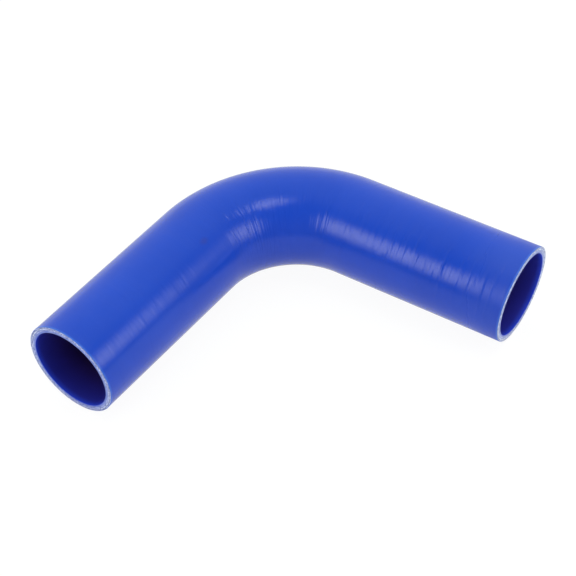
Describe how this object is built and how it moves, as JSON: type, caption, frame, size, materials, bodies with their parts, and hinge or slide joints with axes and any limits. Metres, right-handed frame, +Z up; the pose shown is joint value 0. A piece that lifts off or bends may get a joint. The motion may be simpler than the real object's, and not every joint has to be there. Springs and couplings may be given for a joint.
{
  "type": "silicone elbow hose",
  "caption": "Smooth silicone rubber hose bent into an elbow, with long straight legs cut flat at the ends, which joins pipe stubs round a corner in an air or coolant line.",
  "frame": {"origin": "on the ground under the middle of the hose's own box, the hose lying on its side as it comes to rest", "axes": "+Z up, square to the plane of the bend; +Y from the left leg's cut end towards the bend, along that leg; +X from the bend along the right leg, which stands 4 degrees further open"},
  "size_m": [0.2067, 0.2197, 0.0592],
  "materials": {
    "silicone": "satin"
  },
  "bodies": {
    "root": {"elbow_hose": "silicone"}
  },
  "joints": []
}
